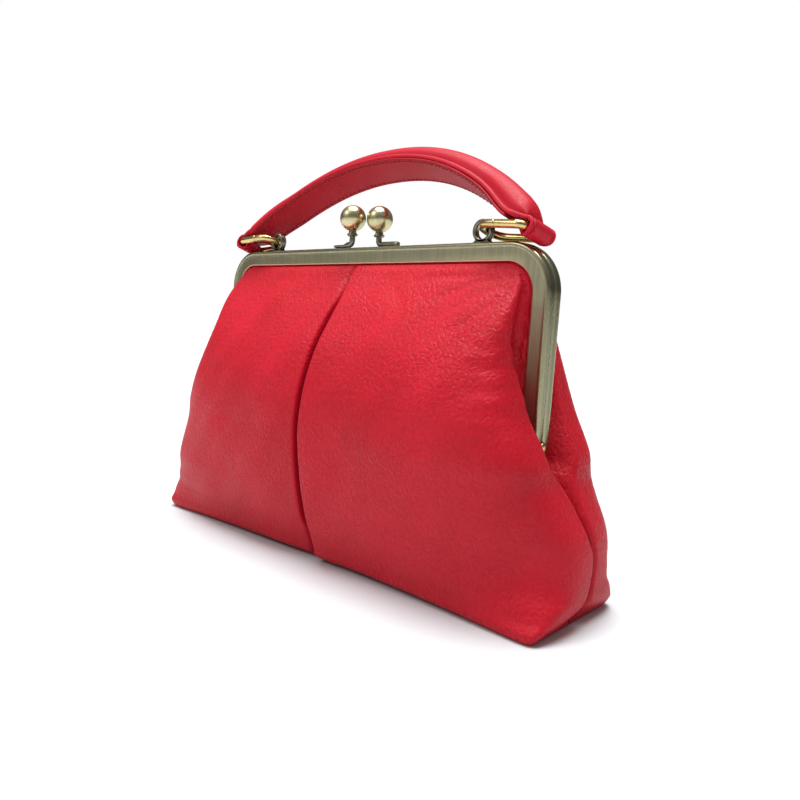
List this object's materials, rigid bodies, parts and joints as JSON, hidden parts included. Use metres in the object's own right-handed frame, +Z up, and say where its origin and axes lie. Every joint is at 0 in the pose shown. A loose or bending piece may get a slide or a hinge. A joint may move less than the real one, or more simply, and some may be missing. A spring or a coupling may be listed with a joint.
{
  "type": "frame bag",
  "caption": "Pleated leather handbag held in a hinged brass frame with a ball clasp, standing on a boxed base, with a padded top handle on metal rings.",
  "frame": {"origin": "middle of the base on the floor, under the middle of the frame", "axes": "+X along the frame to the right of the pleated front, +Y from the front to the back, +Z up"},
  "size_m": [0.2418, 0.0792, 0.1869],
  "materials": {
    "panel_leather": "pebbled red leather with a soft sheen",
    "handle_leather": "smooth red leather over padding",
    "lining_leather": "dull red leather, stitched along both edges",
    "frame_brass": "brushed antique brass with bright worn rims",
    "polished_brass": "polished antique brass",
    "dark_brass": "dark antique brass"
  },
  "bodies": {
    "root": {"front_panel": "panel_leather", "back_panel": "panel_leather", "frame_front": "frame_brass", "frame_back": "frame_brass", "handle_strap": "handle_leather", "handle_lining": "lining_leather", "eye_left": "dark_brass", "eye_right": "dark_brass", "ring_left": "polished_brass", "ring_right": "polished_brass", "clasp_neck_left": "dark_brass", "clasp_neck_right": "dark_brass", "clasp_ball_left": "polished_brass", "clasp_ball_right": "polished_brass", "hinge_rivet_left": "polished_brass", "hinge_rivet_right": "polished_brass"}
  },
  "joints": []
}
